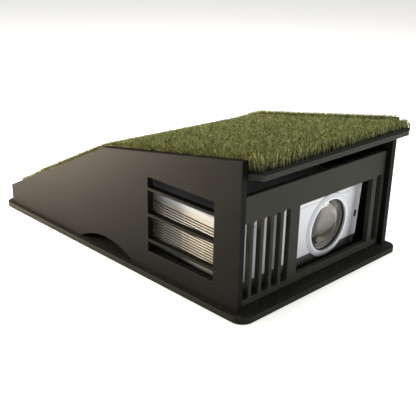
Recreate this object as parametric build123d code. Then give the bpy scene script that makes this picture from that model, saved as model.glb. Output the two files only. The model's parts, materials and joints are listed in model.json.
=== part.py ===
"""Turf-topped floor enclosure for a golf bay, with a short-throw projector inside. Millimetres.

While modelling, X runs across, Y runs from the side panels' front edges to the tail, and Z runs up
from the floor. The projector is modelled level in its own frame (front bottom edge's middle) and then
stood nose-down in its bay. save() puts the origin at the middle of the whole footprint.
"""
from build123d import *
from math import cos, radians, sin
import os

# ---------------------------------------------------------------- enclosure: driving dimensions
width = 400.0                 # over both side panels
length = 643.5                # side panels, front edge to tail
front_height = 249.8          # top corner of the side panels at the front
knee_y = 321.7                # where the deck meets the ramp
knee_height = 198.7
tail_height = 46.9

side_sheet = 12.0
front_sheet = 9.0
top_sheet = 9.0               # deck and ramp plates
inner_sheet = 12.0            # knee beam and tail board
base_sheet = 9.5
pad_thickness = 1.0
pad_radius = 12.0
edge_break = 0.8              # chamfer on the cut edges of the sheets
panel_fit = 0.2               # between sheets that meet

base_margin_side = 10.3
base_margin_front = 21.4
base_margin_tail = 17.2
base_corner = 21.5

front_recess = 10.0           # front panel behind the side panels' front edges
front_panel_top = 189.4

# front panel: window and upright slots
window_left = -49.5
window_right = 151.5
window_bottom = 23.5
window_top = 144.5
window_corner = 2.0
slot_bottom = 20.5
slot_top = 146.5
slot_width = 15.4
slot_pitch = 23.0
slot_corner = 5.0
slot_edge = 7.2               # from the panel's end to the first slot
slots_left = 5
slots_right = 1

# side panels: level vents, on the left only, and the half-moon cut over the base
vent_start = 53.5
vent_length = 152.0
vent_bottom = 45.1
vent_gaps = (17.4, 39.8, 39.8, 17.4)
vent_slat = 5.2
vent_corner = 1.6
arch_y = 324.0
arch_span = 152.0
arch_rise = 21.5

# turf and the two plates under it
turf_depth = 20.0             # pile and backing
turf_setback = 2.5            # behind the deck plate's front edge
turf_side_gap = 1.0
turf_tail_gap = 24.0          # bare strip at the tail
lid_overhang = 29.4
lid_side_gap = 1.0
lid_rest_gap = 0.2
knee_seam = 0.8

cleat_width = 12.0
cleat_height = 9.0
beam_depth = 40.0
batten_width = 12.0
batten_height = 9.0
batten_gap = 2.0

# fasteners
screw_radius = 2.0
screw_head_radius = 4.0
screw_head_height = 2.4
hole_clearance = 0.05
base_screw_bite = 12.0
small_screw_radius = 1.5
small_head_radius = 3.0
small_head_height = 1.8
small_screw_bite = 7.0
screw_end_inset = 28.0        # from a run's end to its first screw
screws_per_run = 3
tail_screw_x = 84.6
cross_screw_bite = 6.0        # of the angle screws into the crossing sheets

angle_leg = 22.0
angle_thickness = 2.0
angle_height = 28.0
front_angle_z = 150.0         # underside of the angles behind the front panel
knee_angle_lift = 6.0         # underside of the angles at the knee, over the beam's
angle_screw_reach = 13.2      # along each leg, from the corner

# ---------------------------------------------------------------- projector: driving dimensions
projector_width = 334.0
projector_length = 263.0
projector_height = 107.0
projector_tilt = 3.0          # nose-down, degrees
projector_y = 41.0            # front bottom edge, in the enclosure
projector_lift = 13.5         # front bottom edge, over the base plate
wall = 2.5
corner = 12.0
top_round = 6.0
split_height = 5.0            # lower cover's rim
apron_setback = 0.8           # of the lower cover's front apron
apron_gap = 1.0               # under the apron
bezel_top = 98.0
bezel_depth = 14.0
rear_panel_depth = 25.0
seam = 0.6                    # visible joint line between covers

lens_x = 68.0
lens_z = 46.8
glass_radius = 46.6
barrel_wall = 1.2
focus_wall = 5.2
trim_wall = 2.6
boss_wall = 2.3
run_gap = 0.05                # running fit of the two lens rings
free_gap = 0.3                # between a turning and a fixed curved face
fit_gap = 0.1                 # glass in barrel
trim_proud = 2.0
trim_back = 7.0
trim_edge_round = 1.1
focus_proud = 2.6
focus_back = 9.0
focus_edge_round = 0.9
boss_proud = 1.0
dome_radius = 140.0
glass_edge = 3.0              # front edge of the glass cylinder behind the cover's face
glass_thickness = 6.0
barrel_start = 1.0
barrel_front_length = 29.0
barrel_tail_radius = 32.0
barrel_tail_length = 62.0
barrel_tail_wall = 2.0
barrel_step = 3.0             # wall between the wide and the narrow bore
rear_glass_y = (42.0, 74.0)
rear_glass_thickness = 6.0
zoom_start = 12.0
zoom_length = 12.0
zoom_wall = 3.4
zoom_tab_width = 6.0
zoom_tab_depth = 5.0
zoom_tab_proud = 5.0
zoom_slot_depth = 10.0
zoom_travel_room = 22.0       # half length of the slot that the tab moves in
trough_end = 34.0

grille_start = 24.0
grille_end = 215.0
grille_bottom = 10.0
grille_top = 95.0
grille_border = 3.0
fin_pitch = 4.8
fin_gap = 2.4
grille_ribs = 3               # between the two at the grille's ends
rib_width = 2.0

fan_size = 70.0
fan_depth = 15.0
fan_bore = 33.0
fan_blade_tip = 31.5
fan_hub = 12.0
fan_blades = 7
fan_y = 160.0
fan_z = 53.0
fan_wall_gap = 3.0
strut_depth = 3.0
strut_width = 4.0
blade_chord = 11.0
blade_thickness = 1.6
blade_pitch = 42.0            # degrees
fan_corner = 5.0
rotor_clearance = 0.6

wheel_x = -12.0
wheel_y = 130.0
wheel_z = 58.0
wheel_radius = 26.0
wheel_disc = 1.0
motor_radius = 10.0
motor_length = 13.0

foot_inset_x = 37.0           # from the covers' sides
front_foot_y = 25.0
rear_foot_y = 236.0
foot_radius = 10.0
rear_knob_height = 7.0
stem_radius = 4.0
stem_engage = 12.0
foot_boss_wall = 4.0
foot_boss_height = 6.0
foot_chamfer = 1.2
foot_floor_gap = 0.1

key_radius = 5.0
key_gap = 0.35
key_proud = 1.4
key_flange = 1.3
key_flange_height = 1.5
key_travel = 1.0
keypad_x = -70.0
keypad_y = 195.0
key_spread = 15.0
menu_key_offset = 36.0
power_key_offset = 57.0
keypad_margin = 10.0          # of the keypad's board round the keys
keypad_drop = 9.0             # of that board under the cover's skin
keypad_post_radius = 2.5
keypad_post_inset = 3.0
switch_radius = 3.0

post_radius = 4.0
post_inset = 16.0
rear_post_inset = 20.0
cover_screw_radius = 1.5
cover_screw_length = 9.0

ir_x = 149.0
ir_z = 48.0
ir_radius = 3.5
ir_height = 14.0
ir_proud = 0.4

# sockets in the rear panel: middle, width and height of each
socket_sizes = (
    (-118.0, 15.0, 6.0),
    (-92.0, 15.0, 6.0),
    (-58.0, 31.0, 12.0),
    (-22.0, 14.0, 7.0),
    (4.0, 8.0, 8.0),
)
socket_row_z = 38.0
socket_depth = 16.0
socket_wall = 1.5
socket_mouth_depth = 10.0
inlet_x = 120.0
inlet_width = 27.0
inlet_height = 20.0
inlet_wall = 2.0
inlet_mouth_depth = 12.0
inlet_proud = 0.6
inlet_pin_pitch = 6.5
inlet_pin_width = 2.0
inlet_pin_height = 4.0

# boards: thickness, place and the taller parts as (x, y, width, depth, height)
board_thickness = 1.6
board_x0 = -24.0
board_x1 = 135.0
board_y0 = 112.0
board_y1 = 232.0
board_z = 88.0
board_post_inset = 5.0
board_parts = (
    (20.0, 150.0, 35.0, 28.0, 2.5),
    (75.0, 150.0, 28.0, 22.4, 2.0),
    (10.0, 200.0, 20.0, 16.0, 3.0),
    (60.0, 200.0, 24.0, 19.2, 6.0),
    (105.0, 205.0, 18.0, 14.4, 4.0),
)
supply_x0 = -116.0
supply_x1 = -30.0
supply_y0 = 178.0
supply_y1 = 244.0
supply_z = 12.0
supply_board = 2.0
supply_post_inset = 4.0
supply_boxes = (
    (-113.0, 182.0, 29.0, 30.0, 30.0),
    (-100.0, 216.0, 50.0, 24.0, 20.0),
)
capacitor_places = ((-68.0, 196.0), (-44.0, 196.0))
capacitor_radius = 9.0
capacitor_height = 28.0

# light engine
block_width = 72.0
block_length = 62.0
block_top = 84.0
block_mouth_radius = 22.0
block_mouth_depth = 20.0
port_reach = 14.0             # of the block's side port, towards the colour wheel
port_start = 12.0
port_end = 50.0
port_bottom = 30.0
port_top = 78.0
chip_width = 48.0
chip_plate = 3.0
chip_bottom = 22.0
chip_top = 72.0
chip_fin_count = 6
chip_fin_length = 11.0
chip_fin = 2.0
laser_x0 = -80.0
laser_x1 = -32.0
laser_y0 = 104.0
laser_y1 = 160.0
laser_top = 80.0
laser_port_radius = 7.0
laser_port_length = 10.0
laser_port_drop = 18.0        # of its port under the colour wheel's middle
sink_base = 8.0
sink_y0 = 108.0
sink_y1 = 172.0
sink_bottom = 14.0
sink_top = 86.0
sink_fin_count = 13
sink_fin = 1.6
sink_fin_length = 44.0
speaker_x0 = 70.0
speaker_x1 = 108.0
speaker_y0 = 196.0
speaker_y1 = 244.0
speaker_top = 40.0
speaker_mouth_radius = 15.0
speaker_throat_radius = 7.0
speaker_mouth_depth = 8.0

# ---------------------------------------------------------------- values that follow
base_top = pad_thickness + base_sheet
projector_z = base_top + projector_lift
half = width / 2
inner_half = half - side_sheet
base_front = -base_margin_front
base_back = length + base_margin_tail
footprint_front = min(base_front, -lid_overhang)
middle_y = (footprint_front + base_back) / 2
front_back = front_recess + front_sheet
tail_front = length - inner_sheet
deck_fall = (front_height - knee_height) / knee_y
ramp_fall = (knee_height - tail_height) / (length - knee_y)
deck_stretch = (1 + deck_fall ** 2) ** 0.5
ramp_stretch = (1 + ramp_fall ** 2) ** 0.5
arch_start = arch_y - arch_span / 2
arch_end = arch_y + arch_span / 2

barrel_radius = glass_radius + fit_gap + barrel_wall
focus_radius = barrel_radius + run_gap + focus_wall
trim_radius = focus_radius + free_gap + trim_wall
boss_radius = trim_radius + panel_fit + boss_wall
body_half = projector_width / 2
apron_drop = (projector_z - base_top - apron_gap) / cos(radians(projector_tilt))
engine_y0 = barrel_start + barrel_front_length + barrel_tail_length
fan_outer = body_half - 2 * wall - fan_wall_gap
keypad_x0 = keypad_x - key_spread - keypad_margin
keypad_x1 = keypad_x + power_key_offset + keypad_margin
keypad_y0 = keypad_y - key_spread - keypad_margin
keypad_y1 = keypad_y + key_spread + keypad_margin
keypad_low = projector_height - wall - keypad_drop


# ---------------------------------------------------------------- helpers
def box(x0, x1, y0, y1, z0, z1):
    return Pos((x0 + x1) / 2, (y0 + y1) / 2, (z0 + z1) / 2) * Box(abs(x1 - x0), abs(y1 - y0), z1 - z0)


def rod_x(y, z, radius, x0, x1):
    return Pos((x0 + x1) / 2, y, z) * Rot(0, 90, 0) * Cylinder(radius, x1 - x0)


def rod_y(x, z, radius, y0, y1):
    return Pos(x, (y0 + y1) / 2, z) * Rot(90, 0, 0) * Cylinder(radius, y1 - y0)


def rod_z(x, y, radius, z0, z1):
    return Pos(x, y, (z0 + z1) / 2) * Cylinder(radius, z1 - z0)


def tube_y(x, z, outer, inner, y0, y1):
    return rod_y(x, z, outer, y0, y1) - rod_y(x, z, inner, y0, y1)


def prism(points, x0, x1):
    """A side-view outline of (y, z) points, carried from x0 to x1."""
    outline = make_face(Polyline(*points, close=True))
    return extrude(Plane.YZ.offset(x0) * outline, amount=x1 - x0, dir=(1, 0, 0))


def rounded(block, axis, radius):
    return fillet(block.edges().filter_by(axis), radius)


def deck_line(y):
    """Height of the side panels' top edge over the deck, carried on past its ends."""
    return front_height - deck_fall * y


def ramp_line(y):
    return knee_height - ramp_fall * (y - knee_y)


def sloped_slab(line, y0, y1, drop_top, drop_bottom, half_width):
    points = [
        (y0, line(y0) - drop_bottom),
        (y1, line(y1) - drop_bottom),
        (y1, line(y1) - drop_top),
        (y0, line(y0) - drop_top),
    ]
    return prism(points, -half_width, half_width)


def spread(start, end, count):
    """Evenly spaced places from start to end, both included."""
    return [start + (end - start) * i / (count - 1) for i in range(count)]


def group(shapes):
    return Compound([solid for shape in shapes for solid in shape.solids()])


def save(name, shape):
    export_step(Pos(0, -middle_y, 0) * shape, f"parts/{name}.step")


in_bay = Pos(0, projector_y, projector_z) * Rot(projector_tilt, 0, 0)


def save_tilted(name, shape):
    save(name, in_bay * shape)


# ---------------------------------------------------------------- drops below the side panels' top edge
deck_top_drop = turf_depth * deck_stretch
deck_under_drop = deck_top_drop + top_sheet * deck_stretch
ramp_top_drop = turf_depth * ramp_stretch
ramp_under_drop = ramp_top_drop + top_sheet * ramp_stretch
knee_front = knee_y - inner_sheet / 2
knee_back = knee_y + inner_sheet / 2
cleat_lands = knee_y + (knee_height - ramp_under_drop - cleat_height * ramp_stretch - base_top) / ramp_fall
ramp_cleat_end = min(tail_front, cleat_lands) - 2 * panel_fit


# ---------------------------------------------------------------- screws
def countersunk(x, y, bite, extra=0.0):
    """A screw driven up through the base plate."""
    head = Pos(x, y, pad_thickness + screw_head_height / 2) * Cone(
        screw_head_radius + extra, screw_radius + extra, screw_head_height
    )
    shank = rod_z(x, y, screw_radius + extra, pad_thickness + screw_head_height / 2, base_top + bite + extra)
    return head + shank


side_line = half - side_sheet / 2
run_places = spread(screw_end_inset, arch_start - screw_end_inset, screws_per_run)
run_places += spread(arch_end + screw_end_inset, length - screw_end_inset, screws_per_run)
base_screw_places = [(side * side_line, y) for side in (-1, 1) for y in run_places]
front_screw_line = front_recess + front_sheet / 2
front_screw_bite = window_bottom - base_top - 3 * edge_break
base_screw_places += [(side * tail_screw_x, tail_front + inner_sheet / 2) for side in (-1, 1)]
front_screw_places = [(x, front_screw_line) for x in spread(window_left, window_right, 3)]


def base_screw_set(extra=0.0):
    screws = [countersunk(x, y, base_screw_bite, extra) for x, y in base_screw_places]
    return screws + [countersunk(x, y, front_screw_bite, extra) for x, y in front_screw_places]


base_screw_holes = group(base_screw_set(hole_clearance))


def pan_screw(reach, extra=0.0):
    """A pan-head screw along +X with its head's underside at the origin."""
    head = rod_x(0, 0, small_head_radius + extra, -small_head_height, 0)
    return head + rod_x(0, 0, small_screw_radius + extra, -0.2, reach + extra)


# ---------------------------------------------------------------- enclosure pieces
def base_plate():
    plate = box(
        -half - base_margin_side, half + base_margin_side, base_front, base_back, pad_thickness, base_top
    )
    plate = rounded(plate, Axis.Z, base_corner)
    plate = chamfer(plate.faces().sort_by(Axis.Z)[-1].edges(), edge_break)
    return plate - base_screw_holes


def foot_pads():
    reach_x = half - side_sheet - pad_radius
    places = [(x, y) for x in (-reach_x, reach_x) for y in spread(0.0, length, 3)]
    return group([rod_z(x, y, pad_radius, 0, pad_thickness) for x, y in places])


def cleat_screw_places():
    """(y, z) of the screws through the deck cleats, then through the ramp cleats."""
    deck = spread(front_back + screw_end_inset, knee_front - screw_end_inset, 3)
    ramp = spread(knee_back + screw_end_inset, ramp_cleat_end - screw_end_inset, 3)
    places = [(y, deck_line(y) - deck_under_drop - cleat_height / 2) for y in deck]
    return places + [(y, ramp_line(y) - ramp_under_drop - cleat_height * ramp_stretch / 2) for y in ramp]


def cleat_screws(extra=0.0):
    inner_face = inner_half - cleat_width
    reach = cleat_width + small_screw_bite
    right = [Pos(inner_face, y, z) * pan_screw(reach, extra) for y, z in cleat_screw_places()]
    return group(right + [mirror(screw, Plane.YZ) for screw in right])


def angle_spots():
    """(y of the crossing sheet's face, underside z, direction of the free leg) for one side."""
    beam_low = ramp_line(knee_back) - ramp_under_drop - beam_depth
    return [(front_back, front_angle_z, 1), (knee_front, beam_low + knee_angle_lift, -1)]


def corner_angle(y, z, direction):
    top = z + angle_height
    side_leg = box(inner_half - angle_thickness, inner_half, y, y + direction * angle_leg, z, top)
    cross_leg = box(inner_half - angle_leg, inner_half, y, y + direction * angle_thickness, z, top)
    return side_leg + cross_leg


def angle_screw_set(extra=0.0):
    screws = []
    for y, z, direction in angle_spots():
        high = z + angle_height / 2
        side = Pos(inner_half - angle_thickness, y + direction * angle_screw_reach, high)
        screws.append(side * pan_screw(angle_thickness + small_screw_bite, extra))
        cross = Pos(inner_half - angle_screw_reach, y + direction * angle_thickness, high)
        turned = cross * Rot(0, 0, -90 * direction)
        screws.append(turned * pan_screw(angle_thickness + cross_screw_bite, extra))
    return group(screws + [mirror(screw, Plane.YZ) for screw in screws])


cleat_screw_holes = cleat_screws(hole_clearance)
angle_screw_holes = angle_screw_set(hole_clearance)


def corner_angles():
    right = [corner_angle(*spot) for spot in angle_spots()]
    return group([angle - angle_screw_holes for angle in right + [mirror(a, Plane.YZ) for a in right]])


def vent_openings(x0, x1):
    cuts = []
    low = vent_bottom
    for gap in vent_gaps:
        block = box(x0, x1, vent_start, vent_start + vent_length, low, low + gap)
        cuts.append(rounded(block, Axis.X, vent_corner))
        low += gap + vent_slat
    return cuts


def side_panel(vented):
    """A right-hand panel."""
    outline = [
        (0, base_top),
        (length, base_top),
        (length, tail_height),
        (knee_y, knee_height),
        (0, front_height),
    ]
    panel = prism(outline, inner_half, half)
    if vented:
        panel -= vent_openings(inner_half - 1, half + 1)
    arch_radius = (arch_span ** 2 / 4 + arch_rise ** 2) / (2 * arch_rise)
    panel -= rod_x(arch_y, base_top + arch_rise - arch_radius, arch_radius, inner_half - 1, half + 1)
    for end in (0, -1):
        panel = chamfer(panel.faces().sort_by(Axis.X)[end].edges(), edge_break)
    panel = panel - base_screw_holes - cleat_screw_holes - angle_screw_holes
    return panel


def front_panel():
    end = inner_half - panel_fit
    panel = box(-end, end, front_recess, front_back, base_top, front_panel_top)
    window = box(window_left, window_right, 0, front_back + 9, window_bottom, window_top)
    cuts = [rounded(window, Axis.Y, window_corner)]
    first = -end + slot_edge + slot_width / 2
    centres = [first + i * slot_pitch for i in range(slots_left)]
    centres += [-first - i * slot_pitch for i in range(slots_right)]
    for x in centres:
        slot = box(x - slot_width / 2, x + slot_width / 2, 0, front_back + 9, slot_bottom, slot_top)
        cuts.append(rounded(slot, Axis.Y, slot_corner))
    panel -= cuts
    panel = chamfer(panel.faces().sort_by(Axis.Y)[0].edges(), edge_break)
    return panel - base_screw_holes - angle_screw_holes


def tail_board():
    end = inner_half - panel_fit
    outline = [
        (tail_front, base_top),
        (length, base_top),
        (length, ramp_line(length)),
        (tail_front, ramp_line(tail_front)),
    ]
    return prism(outline, -end, end) - base_screw_holes


def knee_beam():
    end = inner_half - panel_fit
    low = ramp_line(knee_back) - ramp_under_drop - beam_depth
    outline = [
        (knee_front, low),
        (knee_back, low),
        (knee_back, ramp_line(knee_back) - ramp_under_drop),
        (knee_y, ramp_line(knee_y) - ramp_under_drop),
        (knee_y, deck_line(knee_y) - deck_under_drop - lid_rest_gap),
        (knee_front, deck_line(knee_front) - deck_under_drop - lid_rest_gap),
    ]
    return prism(outline, -end, end) - angle_screw_holes


def deck_plate():
    plate = sloped_slab(
        deck_line, -lid_overhang, knee_y - knee_seam / 2, deck_top_drop, deck_under_drop,
        inner_half - lid_side_gap,
    )
    return chamfer(plate.faces().sort_by(Axis.Y)[0].edges(), edge_break)


def deck_turf():
    start = turf_setback - lid_overhang
    return sloped_slab(
        deck_line, start, knee_y - knee_seam / 2, 0, deck_top_drop, inner_half - turf_side_gap
    )


def deck_battens():
    outer = inner_half - cleat_width - batten_gap
    y0 = front_back + batten_gap + angle_leg
    y1 = knee_front - batten_gap - angle_leg
    bar = sloped_slab(
        deck_line, y0, y1, deck_under_drop, deck_under_drop + batten_height * deck_stretch, batten_width / 2
    )
    return group([Pos(side * (outer - batten_width / 2), 0, 0) * bar for side in (-1, 1)])


def ramp_plate():
    return sloped_slab(
        ramp_line, knee_y + knee_seam / 2, tail_front - panel_fit, ramp_top_drop, ramp_under_drop,
        inner_half - panel_fit,
    )


def ramp_turf():
    return sloped_slab(
        ramp_line, knee_y + knee_seam / 2, length - turf_tail_gap, 0, ramp_top_drop,
        inner_half - turf_side_gap,
    )


def cleat(line, y0, y1, drop, height):
    bar = sloped_slab(line, y0, y1, drop, drop + height, cleat_width / 2)
    return Pos(inner_half - cleat_width / 2, 0, 0) * bar


def deck_cleat():
    drop = deck_under_drop + lid_rest_gap
    bar = cleat(deck_line, front_back + panel_fit, knee_front - panel_fit, drop, cleat_height)
    return bar - cleat_screw_holes


def ramp_cleat():
    height = cleat_height * ramp_stretch
    bar = cleat(ramp_line, knee_back + panel_fit, ramp_cleat_end, ramp_under_drop, height)
    return bar - cleat_screw_holes


# ---------------------------------------------------------------- projector covers
def body_block(inset):
    block = box(
        -body_half + inset, body_half - inset, inset, projector_length - inset,
        inset, projector_height - inset,
    )
    block = rounded(block, Axis.Z, corner - inset)
    if inset:
        return block
    block = fillet(block.faces().sort_by(Axis.Z)[-1].edges(), top_round)
    return fillet(block.faces().sort_by(Axis.Z)[0].edges(), wall)


shell = body_block(0) - body_block(wall)
far = 400.0
above_split = box(-far, far, -far, far, split_height + seam / 2, far)
below_split = box(-far, far, -far, far, -far, split_height - seam / 2)
front_zone = box(-far, far, -far, bezel_depth, split_height, bezel_top)
rear_zone = box(-far, far, projector_length - rear_panel_depth, far, split_height, bezel_top)
boss_room = rod_y(lens_x, lens_z, boss_radius + seam, -far, bezel_depth + seam)


def post_places():
    x = body_half - post_inset
    return [(side * x, y) for side in (-1, 1) for y in (post_inset, projector_length - rear_post_inset)]


def cover_screw(x, y, extra=0.0):
    head = rod_z(x, y, 2 * cover_screw_radius + extra, 0, wall / 2 + extra)
    return head + rod_z(x, y, cover_screw_radius + extra, 0, cover_screw_length + extra)


def cover_screw_set(extra=0.0):
    return [cover_screw(x, y, extra) for x, y in post_places()]


cover_screw_holes = group(cover_screw_set(hole_clearance))


def key_places():
    """Key name to its centre on the upper cover."""
    return {
        "up_button": (keypad_x, keypad_y + key_spread),
        "down_button": (keypad_x, keypad_y - key_spread),
        "left_button": (keypad_x - key_spread, keypad_y),
        "right_button": (keypad_x + key_spread, keypad_y),
        "menu_button": (keypad_x + menu_key_offset, keypad_y),
        "power_button": (keypad_x + power_key_offset, keypad_y),
    }


def grille_block(margin):
    return box(
        body_half - wall - margin, body_half + margin, grille_start - margin, grille_end + margin,
        grille_bottom - margin, grille_top + margin,
    )


def upper_cover():
    cover = shell & above_split
    grow_front = box(-far, far, -far, bezel_depth + seam, -far, bezel_top + seam)
    grow_rear = box(-far, far, projector_length - rear_panel_depth - seam, far, -far, bezel_top + seam)
    cover = cover - grow_front - grow_rear - boss_room
    cover = cover - grille_block(panel_fit) - mirror(grille_block(panel_fit), Plane.YZ)
    zoom_middle = zoom_start + zoom_length / 2
    cover -= box(
        lens_x - zoom_travel_room, lens_x + zoom_travel_room,
        zoom_middle - zoom_slot_depth / 2, zoom_middle + zoom_slot_depth / 2,
        projector_height - wall - 1, projector_height + 1,
    )
    for x, y in key_places().values():
        cover -= rod_z(x, y, key_radius + key_gap, projector_height - wall - 1, projector_height + 1)
    for x, y in post_places():
        cover += rod_z(x, y, post_radius, wall + panel_fit, projector_height - wall + 0.5)
    skin = projector_height - wall + 0.5
    for x in (keypad_x0 + keypad_post_inset, keypad_x1 - keypad_post_inset):
        for y in (keypad_y0 + keypad_post_inset, keypad_y1 - keypad_post_inset):
            cover += rod_z(x, y, keypad_post_radius, keypad_low + board_thickness, skin)
    return cover - cover_screw_holes


def lens_trough():
    """The rounded belly of the lower cover that the lens rings turn in."""
    start = bezel_depth + seam
    trough = rod_y(lens_x, lens_z, boss_radius, start, trough_end)
    trough -= rod_y(lens_x, lens_z, boss_radius - boss_wall, start - 1, trough_end - wall)
    return trough & below_split


def lower_cover():
    end = body_half - corner
    cover = shell & below_split
    cover += box(-end, end, apron_setback, apron_setback + wall, -apron_drop, wall / 2)
    cover -= rod_y(lens_x, lens_z, boss_radius - boss_wall, -far, trough_end - wall)
    cover = cover + lens_trough() - boss_room - cover_screw_holes
    for side in (-1, 1):
        x = side * (body_half - foot_inset_x)
        cover += rod_z(x, rear_foot_y, stem_radius + foot_boss_wall, wall / 2, wall + foot_boss_height)
        cover -= rod_z(x, rear_foot_y, stem_radius + run_gap, -1, wall + foot_boss_height + 1)
    for x, y in board_posts():
        cover += rod_z(x, y, post_radius, wall / 2, board_z)
    return cover


def front_bezel():
    plate = shell & front_zone & above_split
    boss = rod_y(lens_x, lens_z, boss_radius, -boss_proud, bezel_depth - seam)
    ring_room = rod_y(lens_x, lens_z, trim_radius + panel_fit, -far, far)
    return plate + boss - ring_room - ir_shape(panel_fit, -1, wall + 1)


def ir_shape(extra, y0, y1):
    radius = ir_radius + extra
    tall = ir_height / 2 + extra
    block = box(ir_x - radius, ir_x + radius, y0, y1, ir_z - tall, ir_z + tall)
    return rounded(block, Axis.Y, radius * 0.98)


def ir_window():
    return ir_shape(0, -ir_proud, wall)


def side_grille():
    plate = box(body_half - wall, body_half, grille_start, grille_end, grille_bottom, grille_top)
    gap_start = grille_bottom + grille_border
    count = int((grille_top - grille_bottom - 2 * grille_border + fin_pitch - fin_gap) / fin_pitch)
    for i in range(count):
        low = gap_start + i * fin_pitch
        plate -= box(
            body_half - wall - 1, body_half + 1, grille_start + grille_border, grille_end - grille_border,
            low, low + fin_gap,
        )
    for y in spread(grille_start + 1, grille_end - 1 - rib_width, grille_ribs + 2):
        plate += box(
            body_half - 2 * wall, body_half - wall + 0.5, y, y + rib_width, grille_bottom + 1, grille_top - 1
        )
    return plate


# ---------------------------------------------------------------- sockets in the rear panel
def socket_block(x, size_x, size_z, extra, y0, y1):
    return box(
        x - size_x / 2 - extra, x + size_x / 2 + extra, y0, y1,
        socket_row_z - size_z / 2 - extra, socket_row_z + size_z / 2 + extra,
    )


def rear_panel():
    plate = shell & rear_zone & above_split
    start = projector_length - wall - 1
    plate -= socket_block(inlet_x, inlet_width, inlet_height, fit_gap, start, projector_length + 1)
    for x, size_x, size_z in socket_sizes:
        plate -= socket_block(x, size_x, size_z, fit_gap, start, projector_length + 1)
    return plate


def signal_sockets():
    sockets = []
    for x, size_x, size_z in socket_sizes:
        shell_start = projector_length - socket_depth
        mouth_start = projector_length - socket_mouth_depth
        shape = socket_block(x, size_x, size_z, 0, shell_start, projector_length - 0.4)
        mouth = socket_block(x, size_x, size_z, -socket_wall, mouth_start, projector_length)
        sockets.append(shape - mouth)
    return group(sockets)


def power_inlet():
    end = projector_length + inlet_proud
    floor = projector_length - inlet_mouth_depth
    body = socket_block(inlet_x, inlet_width, inlet_height, 0, floor - 2 * inlet_wall, end)
    body -= socket_block(inlet_x, inlet_width, inlet_height, -inlet_wall, floor, end + 1)
    for offset in (-inlet_pin_pitch, 0, inlet_pin_pitch):
        body += socket_block(
            inlet_x + offset, inlet_pin_width, inlet_pin_height, 0,
            floor - 0.5, projector_length - inlet_pin_height,
        )
    return body


# ---------------------------------------------------------------- lens
def lens_trim_ring():
    ring = tube_y(lens_x, lens_z, trim_radius, trim_radius - trim_wall, -trim_proud, trim_back)
    return fillet(ring.faces().sort_by(Axis.Y)[0].edges(), trim_edge_round)


def focus_ring():
    ring = tube_y(lens_x, lens_z, focus_radius, focus_radius - focus_wall, -focus_proud, focus_back)
    return fillet(ring.faces().sort_by(Axis.Y)[0].edges(), focus_edge_round)


def zoom_ring():
    end = zoom_start + zoom_length
    inner = barrel_radius + run_gap
    ring = rod_y(lens_x, lens_z, inner + zoom_wall, zoom_start, end)
    middle = zoom_start + zoom_length / 2
    top = projector_height + zoom_tab_proud
    ring += box(
        lens_x - zoom_tab_width / 2, lens_x + zoom_tab_width / 2,
        middle - zoom_tab_depth / 2, middle + zoom_tab_depth / 2, lens_z + barrel_radius, top,
    )
    return ring - rod_y(lens_x, lens_z, inner, zoom_start - 1, end + 1)


def lens_barrel():
    front_end = barrel_start + barrel_front_length
    tail_end = front_end + barrel_tail_length
    bore = glass_radius + fit_gap
    barrel = rod_y(lens_x, lens_z, barrel_radius, barrel_start, front_end)
    barrel += rod_y(lens_x, lens_z, barrel_tail_radius, front_end - 1, tail_end)
    barrel -= rod_y(lens_x, lens_z, bore, barrel_start - 1, front_end - barrel_step)
    return barrel - rod_y(lens_x, lens_z, barrel_tail_radius - barrel_tail_wall, barrel_start, tail_end + 1)


def front_lens():
    cap_depth = dome_radius - (dome_radius ** 2 - glass_radius ** 2) ** 0.5
    centre = glass_edge - cap_depth + dome_radius
    ball = Pos(lens_x, centre, lens_z) * Sphere(dome_radius)
    blank = rod_y(lens_x, lens_z, glass_radius, glass_edge - cap_depth - 1, glass_edge + glass_thickness)
    return ball & blank


def rear_lens_group():
    radius = barrel_tail_radius - barrel_tail_wall - fit_gap
    return group([rod_y(lens_x, lens_z, radius, y, y + rear_glass_thickness) for y in rear_glass_y])


# ---------------------------------------------------------------- light engine and electronics
def board_posts():
    xs = (board_x0 + board_post_inset, board_x1 - board_post_inset)
    ys = (board_y0 + board_post_inset, board_y1 - board_post_inset)
    return [(x, y) for x in xs for y in ys]


def main_board():
    board = box(board_x0, board_x1, board_y0, board_y1, board_z, board_z + board_thickness)
    top = board_z + board_thickness
    for x, y, size_x, size_y, high in board_parts:
        board += box(x, x + size_x, y, y + size_y, top - 0.1, top + high)
    return board


def optical_block():
    left = lens_x - block_width / 2
    block = box(left, left + block_width, engine_y0, engine_y0 + block_length, wall, block_top)
    block -= rod_y(lens_x, lens_z, block_mouth_radius, engine_y0 - 1, engine_y0 + block_mouth_depth)
    port = box(
        left - port_reach, left + 1, engine_y0 + port_start, engine_y0 + port_end, port_bottom, port_top
    )
    return block + port


def imaging_chip():
    y0 = engine_y0 + block_length
    fin_start = y0 + chip_plate
    plate = box(lens_x - chip_width / 2, lens_x + chip_width / 2, y0, fin_start, chip_bottom, chip_top)
    fin_half = chip_width / 2 - chip_fin
    fin = box(lens_x - fin_half, lens_x + fin_half, fin_start - 0.1, fin_start + chip_fin_length, 0, chip_fin)
    for z in spread(chip_bottom + 2 * chip_fin, chip_top - 3 * chip_fin, chip_fin_count):
        plate += Pos(0, 0, z) * fin
    return plate


def laser_module():
    block = box(laser_x0, laser_x1, laser_y0, laser_y1, wall, laser_top)
    port_z = wheel_z - laser_port_drop
    return block + rod_x(wheel_y, port_z, laser_port_radius, laser_x1 - 1, laser_x1 + laser_port_length)


def heat_sink():
    root = laser_x0 - sink_base
    sink = box(root, laser_x0, sink_y0, sink_y1, sink_bottom, sink_top)
    for y in spread(sink_y0 + 1, sink_y1 - 1 - sink_fin, sink_fin_count):
        sink += box(root - sink_fin_length, root + 0.1, y, y + sink_fin, sink_bottom, sink_top)
    return sink


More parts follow.
